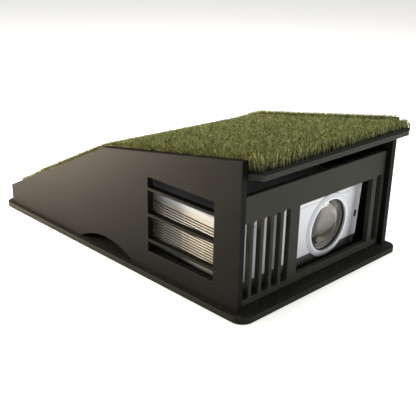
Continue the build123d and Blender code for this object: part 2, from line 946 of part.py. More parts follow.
def power_supply():
    top = supply_z + supply_board
    supply = box(supply_x0, supply_x1, supply_y0, supply_y1, supply_z, top)
    for x, y, size_x, size_y, high in supply_boxes:
        supply += box(x, x + size_x, y, y + size_y, top - 0.1, top + high)
    for x, y in capacitor_places:
        supply += rod_z(x, y, capacitor_radius, top - 0.1, top + capacitor_height)
    for x in (supply_x0 + supply_post_inset, supply_x1 - supply_post_inset):
        for y in (supply_y0 + supply_post_inset, supply_y1 - supply_post_inset):
            supply += rod_z(x, y, keypad_post_radius, wall, supply_z + 0.1)
    return supply


def speaker():
    body = box(speaker_x0, speaker_x1, speaker_y0, speaker_y1, wall + panel_fit, speaker_top)
    middle = Pos((speaker_x0 + speaker_x1) / 2, speaker_y1, (wall + speaker_top) / 2)
    horn = Rot(90, 0, 0) * Cone(speaker_throat_radius, speaker_mouth_radius, 2 * speaker_mouth_depth)
    return body - middle * horn


def keypad_board():
    board = box(keypad_x0, keypad_x1, keypad_y0, keypad_y1, keypad_low, keypad_low + board_thickness)
    flange_low = projector_height - wall - free_gap - key_flange_height
    for x, y in key_places().values():
        board += rod_z(x, y, switch_radius, keypad_low + 1, flange_low - key_travel - free_gap)
    return board


def colour_wheel():
    disc = rod_x(wheel_y, wheel_z, wheel_radius, wheel_x, wheel_x + wheel_disc)
    return disc + rod_x(wheel_y, wheel_z, motor_radius - 2, wheel_x - 2, wheel_x + wheel_disc + 1)


def wheel_motor():
    start = wheel_x + wheel_disc + 1 + free_gap
    can = rod_x(wheel_y, wheel_z, motor_radius, start, start + motor_length)
    return can + box(start + 3, start + motor_length - 3, wheel_y - 4, wheel_y + 4, wall, wheel_z)


# ---------------------------------------------------------------- fans
def fan_frame():
    """The frame at the right side, its open face outwards and its struts inwards."""
    inner = fan_outer - fan_depth
    s = fan_size / 2
    frame = box(inner, fan_outer, fan_y - s, fan_y + s, fan_z - s, fan_z + s)
    frame = rounded(frame, Axis.X, fan_corner)
    frame -= rod_x(fan_y, fan_z, fan_bore, inner - 1, fan_outer + 1)
    frame += rod_x(fan_y, fan_z, fan_hub, inner, inner + strut_depth)
    for turn in (30, 150, 270):
        arm = Box(strut_depth, strut_width, fan_bore - fan_hub + 4)
        arm = Pos(inner + strut_depth / 2, 0, (fan_hub + fan_bore) / 2) * arm
        frame += Pos(0, fan_y, fan_z) * Rot(turn, 0, 0) * arm
    for y in (fan_y - s + 4, fan_y + s - 4):
        frame += box(inner + 2, fan_outer - 2, y - 2, y + 2, wall, fan_z - s + 0.5)
    return frame


def fan_rotor():
    start = fan_outer - fan_depth + strut_depth + rotor_clearance
    end = fan_outer - rotor_clearance
    rotor = rod_x(fan_y, fan_z, fan_hub, start, end)
    middle = (start + end) / 2
    span = fan_blade_tip - fan_hub + 1
    for i in range(fan_blades):
        blade = Rot(0, 0, blade_pitch) * Box(blade_thickness, blade_chord, span)
        blade = Pos(middle, 0, fan_hub - 1 + span / 2) * blade
        rotor += Pos(0, fan_y, fan_z) * Rot(i * 360 / fan_blades, 0, 0) * blade
    return rotor


# ---------------------------------------------------------------- feet, keys and cover screws
def foot_reach(y):
    """Length from the lower cover to just over the base plate, for a foot at y."""
    lean = radians(projector_tilt)
    return (projector_z - base_top - foot_floor_gap + (y - foot_radius) * sin(lean)) / cos(lean)


def front_feet():
    x = body_half - foot_inset_x
    reach = foot_reach(front_foot_y)
    feet = [rod_z(side * x, front_foot_y, foot_radius, -reach, 0) for side in (-1, 1)]
    return group([chamfer(foot.faces().sort_by(Axis.Z)[0].edges(), foot_chamfer) for foot in feet])


def rear_foot(side):
    x = side * (body_half - foot_inset_x)
    reach = foot_reach(rear_foot_y)
    knob = rod_z(x, rear_foot_y, foot_radius, -reach, rear_knob_height - reach)
    knob = chamfer(knob.faces().sort_by(Axis.Z)[0].edges(), foot_chamfer)
    return knob + rod_z(x, rear_foot_y, stem_radius, rear_knob_height - reach - 0.5, stem_engage)


def key(x, y):
    under = projector_height - wall
    cap = rod_z(x, y, key_radius, under - 1, projector_height + key_proud)
    cap = fillet(cap.faces().sort_by(Axis.Z)[-1].edges(), 0.6)
    flange_top = under - free_gap
    return cap + rod_z(x, y, key_radius + key_flange, flange_top - key_flange_height, flange_top)


# ---------------------------------------------------------------- write the pieces
def mirrored(shape):
    return mirror(shape, Plane.YZ)


def main():
    os.makedirs("parts", exist_ok=True)

    save("base_plate", base_plate())
    save("foot_pads", foot_pads())
    save("base_screws", group(base_screw_set()))
    save("side_panel_right", side_panel(vented=False))
    save("side_panel_left", mirrored(side_panel(vented=True)))
    save("front_panel", front_panel())
    save("tail_board", tail_board())
    save("knee_beam", knee_beam())
    save("corner_angles", corner_angles())
    save("angle_screws", angle_screw_set())
    save("cleat_screws", cleat_screws())
    save("deck_cleat_right", deck_cleat())
    save("deck_cleat_left", mirrored(deck_cleat()))
    save("ramp_cleat_right", ramp_cleat())
    save("ramp_cleat_left", mirrored(ramp_cleat()))
    save("ramp_plate", ramp_plate())
    save("ramp_turf", ramp_turf())
    save("deck_plate", deck_plate())
    save("deck_turf", deck_turf())
    save("deck_battens", deck_battens())

    save_tilted("lower_cover", lower_cover())
    save_tilted("upper_cover", upper_cover())
    save_tilted("front_bezel", front_bezel())
    save_tilted("rear_panel", rear_panel())
    save_tilted("side_grille_right", side_grille())
    save_tilted("side_grille_left", mirrored(side_grille()))
    save_tilted("lens_trim_ring", lens_trim_ring())
    save_tilted("focus_ring", focus_ring())
    save_tilted("zoom_ring", zoom_ring())
    save_tilted("lens_barrel", lens_barrel())
    save_tilted("front_lens", front_lens())
    save_tilted("rear_lens_group", rear_lens_group())
    save_tilted("ir_window", ir_window())
    save_tilted("front_feet", front_feet())
    save_tilted("rear_foot_left", rear_foot(-1))
    save_tilted("rear_foot_right", rear_foot(1))
    save_tilted("main_board", main_board())
    save_tilted("power_supply", power_supply())
    save_tilted("optical_block", optical_block())
    save_tilted("imaging_chip", imaging_chip())
    save_tilted("laser_module", laser_module())
    save_tilted("heat_sink", heat_sink())
    save_tilted("colour_wheel", colour_wheel())
    save_tilted("wheel_motor", wheel_motor())
    save_tilted("exhaust_fan_frame", fan_frame())
    save_tilted("exhaust_fan_rotor", fan_rotor())
    save_tilted("intake_fan_frame", mirrored(fan_frame()))
    save_tilted("intake_fan_rotor", mirrored(fan_rotor()))
    save_tilted("speaker", speaker())
    save_tilted("power_inlet", power_inlet())
    save_tilted("signal_sockets", signal_sockets())
    save_tilted("keypad_board", keypad_board())
    save_tilted("cover_screws", group(cover_screw_set()))
    for name, (x, y) in key_places().items():
        save_tilted(name, key(x, y))


main()
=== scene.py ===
"""Looks of the golf-bay projector enclosure: turf pile, sheet plastic, projector covers and lens. Metres."""

import json
from math import cos, pi, radians, sin

import bpy
import numpy as np
from mathutils import Matrix, Vector


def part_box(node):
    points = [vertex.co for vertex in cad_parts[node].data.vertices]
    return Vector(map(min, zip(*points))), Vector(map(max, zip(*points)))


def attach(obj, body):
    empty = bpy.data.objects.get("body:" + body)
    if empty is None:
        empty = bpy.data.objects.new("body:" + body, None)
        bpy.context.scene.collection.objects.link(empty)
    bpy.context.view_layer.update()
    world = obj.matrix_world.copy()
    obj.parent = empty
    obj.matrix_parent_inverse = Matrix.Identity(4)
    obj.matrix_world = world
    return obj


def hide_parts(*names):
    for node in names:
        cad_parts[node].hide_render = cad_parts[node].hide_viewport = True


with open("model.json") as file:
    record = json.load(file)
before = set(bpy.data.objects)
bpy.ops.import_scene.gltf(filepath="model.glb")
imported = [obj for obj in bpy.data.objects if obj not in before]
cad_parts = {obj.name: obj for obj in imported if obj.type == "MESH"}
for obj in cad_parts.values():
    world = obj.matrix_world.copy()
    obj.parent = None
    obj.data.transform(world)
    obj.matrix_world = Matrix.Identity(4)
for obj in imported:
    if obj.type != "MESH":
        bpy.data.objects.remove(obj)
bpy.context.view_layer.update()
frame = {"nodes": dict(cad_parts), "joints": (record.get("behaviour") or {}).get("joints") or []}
nodes = frame["nodes"]
joints = {joint["name"]: joint for joint in frame["joints"]}
mm = 0.001

# ---------------------------------------------------------------- driving values
backing_thickness = 4.5 * mm
tuft_gauge = 3.6 * mm          # between rows of stitches
tuft_stitch = 3.4 * mm         # along a row
tuft_scatter = 0.5 * mm        # of a blade's root about its stitch
blades_per_tuft = 8
blade_width = 1.05 * mm
blade_lean = 4.6 * mm          # of a blade's tip past its root
blade_lean_spread = 2.4 * mm
blade_curl = 1.8 * mm          # sideways sway, as a spread about none
root_sink = 0.2 * mm           # of the roots under the backing's face

row_margin = 1.8 * mm          # from the mat's side to the first full row
stitch_margin = 1.2 * mm       # from the mat's end to the first stitch
outer_row_inset = 0.6 * mm     # of the last blades from the mat's side
end_inset = 0.5 * mm           # of the last roots from the mat's end
ragged_edge = 5.0 * mm         # from a free edge to where blades no longer come out short
least_height = 0.66            # of a blade, as a share of the longest one there
least_height_at_edge = 0.35
bleached_share = 0.05          # of the blades

proud_left = 10.8 * mm         # of the longest blades over the side panels' top line, at each side
proud_right = 1.2 * mm
knee_dip = 2.4 * mm            # of the pile where the two mats meet
knee_reach = 40.0 * mm
knee_gap = 0.2 * mm            # that each mat's blades keep from the line where the mats meet
thin_end = 80.0 * mm           # length over which the pile wears down to the tail
tail_stand = 0.3               # share of the proud height that is left at the tail
pile_overhang = 3.0 * mm       # of the outer blades' tips past the free ends
spill = 12.6 * mm              # of the outer blades over the side panels' top edges
spill_rows = 9.0 * mm          # from the mat's side to the last row that spills
spill_lift = 0.3 * mm          # over the slab's face, from where a blade may spill
strips = 4                     # side by side, that each mat's pile is made in

lens_at = Vector(joints["focus_turn"]["pos_m"])
lens_out = Vector(joints["focus_turn"]["axis"])
glass_radius = 46.6 * mm
inner_lens_radius = 35.5 * mm
inner_lens_depth = 15.9 * mm   # of the second element's edge behind the focus ring
inner_lens_bulge = 9.0 * mm


# ---------------------------------------------------------------- shader maths
class Wire:
    """A socket in a finish. Arithmetic on it adds Math nodes."""

    def __init__(self, finish, socket):
        self.finish = finish
        self.socket = socket

    def _math(self, operation, *values):
        inputs = {i: value for i, value in enumerate(values)}
        return self.finish.add("ShaderNodeMath", {"operation": operation}, inputs)

    def __add__(self, other):
        return self._math("ADD", self, other)

    def __radd__(self, other):
        return self._math("ADD", other, self)

    def __sub__(self, other):
        return self._math("SUBTRACT", self, other)

    def __rsub__(self, other):
        return self._math("SUBTRACT", other, self)

    def __mul__(self, other):
        return self._math("MULTIPLY", self, other)

    def __truediv__(self, other):
        return self._math("DIVIDE", self, other)

    def __abs__(self):
        return self._math("ABSOLUTE", self)

    def near(self, value, width):
        """1 within width of value, else 0."""
        return self._math("COMPARE", self, value, width)

    def over(self, value):
        """1 above value, else 0."""
        return self._math("GREATER_THAN", self, value)

    def step(self, low, high):
        """Rises smoothly from 0 at low to 1 at high."""
        return self.finish.add(
            "ShaderNodeMapRange", {"interpolation_type": "SMOOTHSTEP"},
            {"Value": self, "From Min": low, "From Max": high},
        )


class Finish:
    """A material built on one Principled shader. Keyword values set its sockets, with _ for a space."""

    def __init__(self, name, **constants):
        self.material = bpy.data.materials.new(name)
        self.material.use_nodes = True
        self.tree = self.material.node_tree
        self.shader = self.tree.nodes["Principled BSDF"]
        self.place = self.add("ShaderNodeTexCoord", output="Object")
        self.normal = self.add("ShaderNodeTexCoord", output="Normal")
        for socket, value in constants.items():
            self.shader.inputs[socket.replace("_", " ")].default_value = value

    def add(self, kind, settings=None, inputs=None, output=0):
        """Adds a node and returns one of its outputs. inputs holds numbers, vectors or wires."""
        node = self.tree.nodes.new(kind)
        for name, value in (settings or {}).items():
            if name == "stops":
                self._set_stops(node.color_ramp, value)
            else:
                setattr(node, name, value)
        for name, value in (inputs or {}).items():
            if isinstance(value, Wire):
                self.tree.links.new(value.socket, node.inputs[name])
            else:
                node.inputs[name].default_value = value
        return Wire(self, node.outputs[output])

    @staticmethod
    def _set_stops(ramp, stops):
        while len(ramp.elements) < len(stops):
            ramp.elements.new(0.5)
        for element, (position, colour) in zip(ramp.elements, stops):
            element.position = position
            element.color = (*colour, 1.0)

    def noise(self, scale, detail=2.0, roughness=0.5, place=None):
        inputs = {"Vector": place or self.place, "Scale": scale, "Detail": detail, "Roughness": roughness}
        return self.add("ShaderNodeTexNoise", {}, inputs)

    def cells(self, scale):
        return self.add("ShaderNodeTexVoronoi", {}, {"Vector": self.place, "Scale": scale}, "Distance")

    def scaled(self, x, y, z):
        """Object coordinates stretched for a grain that runs one way."""
        return self.add("ShaderNodeMapping", {}, {"Vector": self.place, "Scale": (x, y, z)})

    def part(self, vector, axis):
        """One axis of a vector: 0, 1 or 2."""
        return self.add("ShaderNodeSeparateXYZ", {}, {"Vector": vector}, axis)

    def ramp(self, value, *stops):
        return self.add("ShaderNodeValToRGB", {"stops": stops}, {"Fac": value})

    def mix(self, factor, a, b, blend="MIX"):
        colours = [value if isinstance(value, Wire) else (*value, 1.0) for value in (a, b)]
        return self.add(
            "ShaderNodeMix", {"data_type": "RGBA", "blend_type": blend},
            {"Factor": factor, 6: colours[0], 7: colours[1]}, 2,
        )

    def attribute(self, name):
        return self.add("ShaderNodeAttribute", {"attribute_name": name}, output="Fac")

    def bump(self, height, distance, strength=1.0, under=None):
        inputs = {"Height": height, "Distance": distance, "Strength": strength}
        if under is not None:
            inputs["Normal"] = under
        return self.add("ShaderNodeBump", {}, inputs)

    def feed(self, **wires):
        """Links wires to the shader's sockets, with _ for a space, and returns the material."""
        for socket, wire in wires.items():
            self.tree.links.new(wire.socket, self.shader.inputs[socket.replace("_", " ")])
        return self.material


# ---------------------------------------------------------------- finishes of the enclosure
def sheet_finish(name, face_axis, dark, light):
    """Satin black sheet plastic: face_axis is square to its faces, chamfers are painted paler as a highlight,
    sawn edges rougher. dark and light bound its colour; each copy sets them to paint the light and shade its
    own faces get.
    """
    f = Finish(name, Specular_IOR_Level=0.05)
    facing = abs(f.part(f.normal, face_axis))
    painted_chamfer_highlight = facing.near(0.707, 0.12)
    sawn = 1 - facing.over(0.4)
    up = f.part(f.normal, 2).step(0.5, 0.95)
    clouds = f.noise(7.0, 3.0)
    scuffs = f.noise(60.0, 4.0, 0.7, f.scaled(1.0, 0.08, 1.0)).step(0.6, 0.75)
    grain = f.noise(1500.0, 2.0)
    pebbles = f.cells(700.0)
    saw = f.noise(1.0, 2.0, 0.6, f.scaled(30.0, 900.0, 30.0))
    dust = up * f.noise(220.0, 5.0, 0.7).step(0.45, 0.8)
    colour = f.ramp(clouds, (0.3, dark), (0.7, light))
    colour = f.mix(scuffs * 0.3, colour, (0.035, 0.033, 0.028))
    # Painted highlight: the chamfers are painted paler to stand in for the light they catch.
    colour = f.mix(painted_chamfer_highlight * 0.5, colour, (0.045, 0.043, 0.036))
    colour = f.mix(dust * 0.3, colour, (0.16, 0.15, 0.13))
    rough = 0.46 + clouds * 0.1 + scuffs * 0.12 + sawn * 0.1 + dust * 0.2
    normal = f.bump(grain + pebbles * 0.7, 0.05 * mm, 0.35)
    normal = f.bump(saw * sawn, 0.06 * mm, 0.6, normal)
    return f.feed(Base_Color=colour, Roughness=rough, Normal=normal)


def strip_finish():
    """Planed black strips of the cleats and battens."""
    f = Finish("black planed strip", Specular_IOR_Level=0.3)
    planing = f.noise(1.0, 3.0, 0.6, f.scaled(500.0, 12.0, 500.0))
    colour = f.ramp(planing, (0.3, (0.010, 0.009, 0.008)), (0.7, (0.020, 0.018, 0.016)))
    return f.feed(Base_Color=colour, Roughness=0.5 + planing * 0.15, Normal=f.bump(planing, 0.1 * mm, 0.5))


def turf_finish():
    """Nylon blades: the attribute tint picks a blade's green, and rise darkens it towards its root as painted
    shade deep in the pile.
    """
    f = Finish("artificial grass blades", Specular_IOR_Level=0.25, Roughness=0.6)
    tint = f.attribute("tint")
    rise = f.attribute("rise")
    green = f.ramp(
        tint,
        (0.0, (0.17, 0.20, 0.052)),
        (0.35, (0.31, 0.34, 0.105)),
        (0.7, (0.44, 0.46, 0.165)),
        (0.9, (0.58, 0.56, 0.24)),
        (1.0, (0.72, 0.66, 0.40)),
    )
    # Painted shade: the blades darken towards their roots, standing in for the shade down among them.
    depth = f.ramp(rise, (0.0, (0.08, 0.08, 0.07)), (0.4, (0.35, 0.35, 0.32)), (0.8, (1.0, 1.0, 1.0)))
    crimps = f.ramp(f.noise(430.0, 2.0, 0.6), (0.36, (0.50, 0.50, 0.48)), (0.62, (1.0, 1.0, 1.0)))
    return f.feed(Base_Color=f.mix(1.0, f.mix(1.0, green, depth, "MULTIPLY"), crimps, "MULTIPLY"))


def backing_finish():
    """Woven backing with a rubbed-in dark coat."""
    f = Finish("woven turf backing", Specular_IOR_Level=0.1)
    across = f.add("ShaderNodeTexWave", {"bands_direction": "X"}, {"Vector": f.place, "Scale": 210.0})
    along = f.add("ShaderNodeTexWave", {"bands_direction": "Y"}, {"Vector": f.place, "Scale": 240.0})
    weave = across * along
    colour = f.ramp(weave, (0.1, (0.006, 0.006, 0.005)), (0.9, (0.016, 0.017, 0.013)))
    normal = f.bump(weave + f.noise(600.0) * 0.4, 0.3 * mm, 0.8)
    return f.feed(Base_Color=colour, Roughness=0.8 + weave * 0.1, Normal=normal)


def pad_finish():
    """Cellular rubber of the pads under the base."""
    f = Finish("grey-black rubber pad", Specular_IOR_Level=0.25)
    cells = f.cells(900.0)
    colour = f.ramp(cells, (0.0, (0.020, 0.020, 0.019)), (1.0, (0.035, 0.034, 0.032)))
    return f.feed(Base_Color=colour, Roughness=0.75 + cells * 0.15, Normal=f.bump(cells, 0.1 * mm, 0.6))


def screw_finish():
    """Plated screws with brushed heads."""
    f = Finish("zinc-plated steel", Metallic=1.0)
    brushed = f.noise(1.0, 2.0, 0.6, f.scaled(400.0, 3000.0, 400.0))
    stain = f.noise(300.0, 3.0)
    colour = f.ramp(stain, (0.3, (0.42, 0.42, 0.41)), (0.7, (0.62, 0.61, 0.58)))
    return f.feed(Base_Color=colour, Roughness=0.28 + brushed * 0.18, Normal=f.bump(brushed, 0.02 * mm, 0.5))


def angle_finish():
    """Aluminium angles, brushed along their length."""
    f = Finish("brushed aluminium angle", Metallic=1.0)
    brushed = f.noise(1.0, 3.0, 0.6, f.scaled(200.0, 200.0, 4000.0))
    colour = f.ramp(brushed, (0.2, (0.50, 0.50, 0.50)), (0.8, (0.68, 0.68, 0.67)))
    return f.feed(Base_Color=colour, Roughness=0.3 + brushed * 0.2, Normal=f.bump(brushed, 0.02 * mm, 0.5))


# ---------------------------------------------------------------- finishes of the projector
def cover_finish(name, dark, light, rough, grain_depth):
    """Moulded cover: fine spark-eroded grain, faint flow clouds and a little dust on top."""
    f = Finish(name, Specular_IOR_Level=0.5)
    clouds = f.noise(12.0, 3.0)
    grain = f.noise(1400.0, 3.0, 0.6)
    up = f.part(f.normal, 2).step(0.6, 0.95)
    dust = up * f.noise(260.0, 5.0, 0.7).step(0.5, 0.8)
    colour = f.ramp(clouds, (0.3, dark), (0.7, light))
    colour = f.mix(dust * 0.25, colour, (0.40, 0.38, 0.34))
    finish_rough = rough + clouds * 0.08 + dust * 0.2
    return f.feed(Base_Color=colour, Roughness=finish_rough, Normal=f.bump(grain, grain_depth, 0.5))


def glass_finish(name, tint, rough=0.02):
    """Coated glass: a faint film with drifting thickness."""
    f = Finish(name, Transmission_Weight=1.0, IOR=1.46)
    film = f.noise(22.0, 2.0)
    colour = f.ramp(film, (0.3, tint), (0.7, tuple(0.94 * c for c in tint)))
    return f.feed(Base_Color=colour, Roughness=rough + film * 0.015)


def inner_lens_finish():
    """The second element's coated face over the dark brown bore behind it."""
    f = Finish("coated inner lens", Specular_IOR_Level=0.8, Coat_Weight=1.0, Coat_Roughness=0.04)
    film = f.noise(26.0, 3.0)
    streak = f.noise(9.0, 2.0)
    colour = f.ramp(film, (0.3, (0.150, 0.130, 0.105)), (0.7, (0.215, 0.190, 0.160)))
    colour = f.mix(streak.step(0.45, 0.6) * 0.5, colour, (0.125, 0.120, 0.100))
    return f.feed(Base_Color=colour, Roughness=0.16 + film * 0.1)


def bore_finish():
    """Turned grooves of the stepped ring behind the front glass."""
    f = Finish("grey lens bore", Specular_IOR_Level=0.4)
    turning = f.noise(900.0, 2.0)
    colour = f.ramp(turning, (0.3, (0.115, 0.118, 0.100)), (0.7, (0.170, 0.170, 0.148)))
    return f.feed(Base_Color=colour, Roughness=0.42 + turning * 0.12, Normal=f.bump(turning, 0.05 * mm, 0.4))


def board_finish():
    """Green solder mask with tinned pads."""
    f = Finish("green circuit board", Specular_IOR_Level=0.5)
    tracks = f.cells(260.0)
    pads = 1 - f.cells(420.0).step(0.08, 0.16)
    colour = f.ramp(tracks, (0.2, (0.010, 0.055, 0.025)), (0.6, (0.022, 0.105, 0.050)))
    colour = f.mix(pads, colour, (0.55, 0.55, 0.52))
    rough = 0.4 - pads * 0.1
    return f.feed(Base_Color=colour, Roughness=rough, Metallic=pads, Normal=f.bump(tracks, 0.05 * mm))


def cast_finish(name, dark, light, metallic):
    """Bare or coated metal with a cast grain."""
    f = Finish(name, Metallic=metallic)
    grain = f.noise(800.0, 4.0, 0.65)
    stain = f.noise(40.0, 3.0)
    colour = f.ramp(stain, (0.3, dark), (0.7, light))
    return f.feed(Base_Color=colour, Roughness=0.45 + grain * 0.2, Normal=f.bump(grain, 0.12 * mm, 0.5))


def moulding_finish(name, dark, light, rough=0.48):
    """Moulded plastic or rubber with a fine grain."""
    f = Finish(name, Specular_IOR_Level=0.4)
    grain = f.noise(1100.0, 3.0, 0.6)
    clouds = f.noise(20.0, 2.0)
    colour = f.ramp(clouds, (0.3, dark), (0.7, light))
    return f.feed(Base_Color=colour, Roughness=rough + grain * 0.14, Normal=f.bump(grain, 0.04 * mm, 0.4))


def wheel_finish():
    """Colour wheel: coated segments round the hub."""
    f = Finish("colour wheel segments", Specular_IOR_Level=0.8, Roughness=0.12)
    _, hub_y, hub_z = joints["colour_wheel_spin"]["pos_m"]
    y = f.part(f.place, 1) - hub_y
    z = f.part(f.place, 2) - hub_z
    turn = f.add("ShaderNodeMath", {"operation": "ARCTAN2"}, {0: z, 1: y}) / (2 * pi) + 0.5
    colour = f.ramp(
        turn, (0.0, (0.55, 0.05, 0.04)), (0.26, (0.50, 0.42, 0.06)), (0.5, (0.08, 0.42, 0.10)),
        (0.76, (0.10, 0.16, 0.55)),
    )
    colour.socket.node.color_ramp.interpolation = "CONSTANT"
    return f.feed(Base_Color=colour)


# ---------------------------------------------------------------- modelling helpers
def start_piece():
    """Leaves edit mode and clears the selection."""
    if bpy.context.object and bpy.context.object.mode != "OBJECT":
        bpy.ops.object.mode_set(mode="OBJECT")
    bpy.ops.object.select_all(action="DESELECT")


def made(name, material, matrix=None):
    """Names the piece just modelled, puts its place into its mesh and gives it its finish."""
    piece = bpy.context.object
    if piece.mode != "OBJECT":
        bpy.ops.object.mode_set(mode="OBJECT")
    piece.data.transform((matrix or Matrix.Identity(4)) @ piece.matrix_basis)
    piece.matrix_basis = Matrix.Identity(4)
    piece.name = name
    piece.data.name = name
    piece.data.materials.clear()
    piece.data.materials.append(material)
    return piece


def turned(name, outline, material, matrix, steps=96):
    """A piece turned on a lathe about Z: outline holds its (radius, height) points."""
    start_piece()
    mesh = bpy.data.meshes.new(name)
    edges = [(i, i + 1) for i in range(len(outline) - 1)]
    mesh.from_pydata([(radius, 0.0, height) for radius, height in outline], edges, [])
    piece = bpy.data.objects.new(name, mesh)
    bpy.context.collection.objects.link(piece)
    bpy.context.view_layer.objects.active = piece
    piece.select_set(True)
    bpy.ops.object.mode_set(mode="EDIT")
    bpy.ops.mesh.select_all(action="SELECT")
    bpy.ops.mesh.spin(steps=steps, angle=2 * pi, center=(0, 0, 0), axis=(0, 0, 1))
    bpy.ops.mesh.select_all(action="SELECT")
    bpy.ops.mesh.remove_doubles(threshold=0.01 * mm)
    bpy.ops.mesh.normals_make_consistent(inside=False)
    bpy.ops.object.mode_set(mode="OBJECT")
    piece = made(name, material, matrix)
    bpy.ops.object.shade_smooth_by_angle(angle=radians(35))
    return piece


# ---------------------------------------------------------------- turf
class Slab:
    """A mat's sloping slab in the frame: its upper face's ends at x 0, its directions, width and depth."""

    def __init__(self, node):
        points = [v.co for v in nodes[node].data.vertices]
        ends = [end(p.y for p in points) for end in (min, max)]
        front_heights, back_heights = ([p.z for p in points if abs(p.y - y) < 0.1 * mm] for y in ends)
        self.front = Vector((0.0, ends[0], max(front_heights)))
        self.back = Vector((0.0, ends[1], max(back_heights)))
        self.half_width = max(p.x for p in points)
        self.length = (self.back - self.front).length
        self.along = (self.back - self.front).normalized()
        self.up = Vector((1, 0, 0)).cross(self.along)
        self.depth = (self.front.z - min(front_heights)) * abs(self.along.y)


def turf_backing(name, node, body, material):
    """The backing lies on its plate and is as wide and long as the mat."""
    slab = Slab(node)
    start_piece()
    bpy.ops.mesh.primitive_grid_add(x_subdivisions=24, y_subdivisions=24, size=1.0)
    grid = bpy.context.object
    middle = (slab.front + slab.back) / 2 - slab.up * (slab.depth - backing_thickness / 2)
    turn = Matrix((Vector((1, 0, 0)), slab.along, slab.up)).transposed().to_4x4()
    size = Matrix.Diagonal((2 * slab.half_width, slab.length, 1, 1))
    grid.data.transform(Matrix.Translation(middle) @ turn @ size)
    thick = grid.modifiers.new("thickness", "SOLIDIFY")
    thick.thickness = backing_thickness
    thick.offset = 0.0
    bpy.ops.object.modifier_apply(modifier=thick.name)
    piece = made(name, material)
    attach(piece, body)
    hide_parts(node)
    return piece


def blade_shape():
    """One blade, 1 wide and 1 tall: a strip drawn up in three lengths to a point."""
    first_length = 0.4
    start_piece()
    bpy.ops.mesh.primitive_plane_add(size=1.0, rotation=(pi / 2, 0, 0))
    bpy.ops.object.transform_apply(location=False, rotation=True, scale=False)
    plane = bpy.context.object
    bpy.ops.object.mode_set(mode="EDIT")
    bpy.ops.mesh.select_all(action="SELECT")
    bpy.ops.transform.resize(value=(1, 1, first_length))
    bpy.ops.transform.translate(value=(0, 0, first_length / 2))
    for height, width in ((0.35, 0.85), (0.25, 0.0)):
        bpy.ops.object.mode_set(mode="OBJECT")
        top = max(v.co.z for v in plane.data.vertices) - 0.01
        for v in plane.data.vertices:
            v.select = v.co.z > top
        for e in plane.data.edges:
            e.select = all(plane.data.vertices[i].co.z > top for i in e.vertices)
        for p in plane.data.polygons:
            p.select = False
        bpy.ops.object.mode_set(mode="EDIT")
        bpy.ops.mesh.extrude_region_move(TRANSFORM_OT_translate={"value": (0, 0, height)})
        bpy.ops.transform.resize(value=(width, 1, 1))
    bpy.ops.mesh.select_all(action="SELECT")
    bpy.ops.mesh.remove_doubles(threshold=0.001)
    bpy.ops.object.mode_set(mode="OBJECT")
    points = np.array([v.co for v in plane.data.vertices], float)
    faces = [tuple(p.vertices) for p in plane.data.polygons]
    bpy.data.objects.remove(plane)
    return points, faces


def stitched_roots(slab, strip, rng):
    """Places of a strip's blades, across and along the mat, and the way each one faces."""
    outer = slab.half_width - outer_row_inset
    rows = np.arange(row_margin - slab.half_width, slab.half_width - row_margin, tuft_gauge)
    rows = np.array_split(np.concatenate(([-outer], rows, [outer])), strips)[strip]
    stitches = np.arange(stitch_margin, slab.length - stitch_margin, tuft_stitch)
    row, stitch = (a.ravel() for a in np.meshgrid(rows, stitches))
    stitch = stitch + (np.round(row / tuft_gauge) % 2) * tuft_stitch / 2
    heading = np.repeat(rng.uniform(0, 2 * pi, len(row)), blades_per_tuft)
    row = np.repeat(row, blades_per_tuft)
    stitch = np.repeat(stitch, blades_per_tuft)
    count = len(row)
    heading = heading + rng.normal(0, 0.9, count)
    row = np.clip(row + rng.normal(0, tuft_scatter, count), -outer, outer)
    stitch = np.clip(stitch + rng.normal(0, tuft_scatter, count), end_inset, slab.length - end_inset)
    return row, stitch, heading


def blade_heights(slab, row, stitch, is_ramp, rng):
    """Prouder at the left, lower at the knee, often short at free edges and worn down towards the tail."""
    share = (slab.half_width - row) / (2 * slab.half_width)
    proud = proud_right + (proud_left - proud_right) * share
    if is_ramp:
        proud = proud * (tail_stand + (1 - tail_stand) * np.clip((slab.length - stitch) / thin_end, 0, 1))
    from_knee = stitch if is_ramp else slab.length - stitch
    proud = proud - knee_dip * share * np.clip(1 - from_knee / knee_reach, 0, 1)
    from_edge = np.minimum(slab.length - from_knee, slab.half_width - np.abs(row))
    lowest = np.where(from_edge < ragged_edge, least_height_at_edge, least_height)
    return (slab.depth - backing_thickness + proud) * rng.uniform(lowest, 1.0)


def blade_tints(row, stitch, rng):
    """Greens that drift in clumps, with a few bleached blades."""
    count = len(row)
    clump = 0.5 + 0.5 * np.sin(row * 210 + 3 * np.sin(stitch * 130)) * np.sin(stitch * 190 + row * 70)
    tint = np.clip(rng.beta(2.2, 2.6, count) * 0.75 + clump * 0.2, 0, 1)
    return np.where(rng.uniform(0, 1, count) < bleached_share, rng.uniform(0.9, 1.0, count), tint)


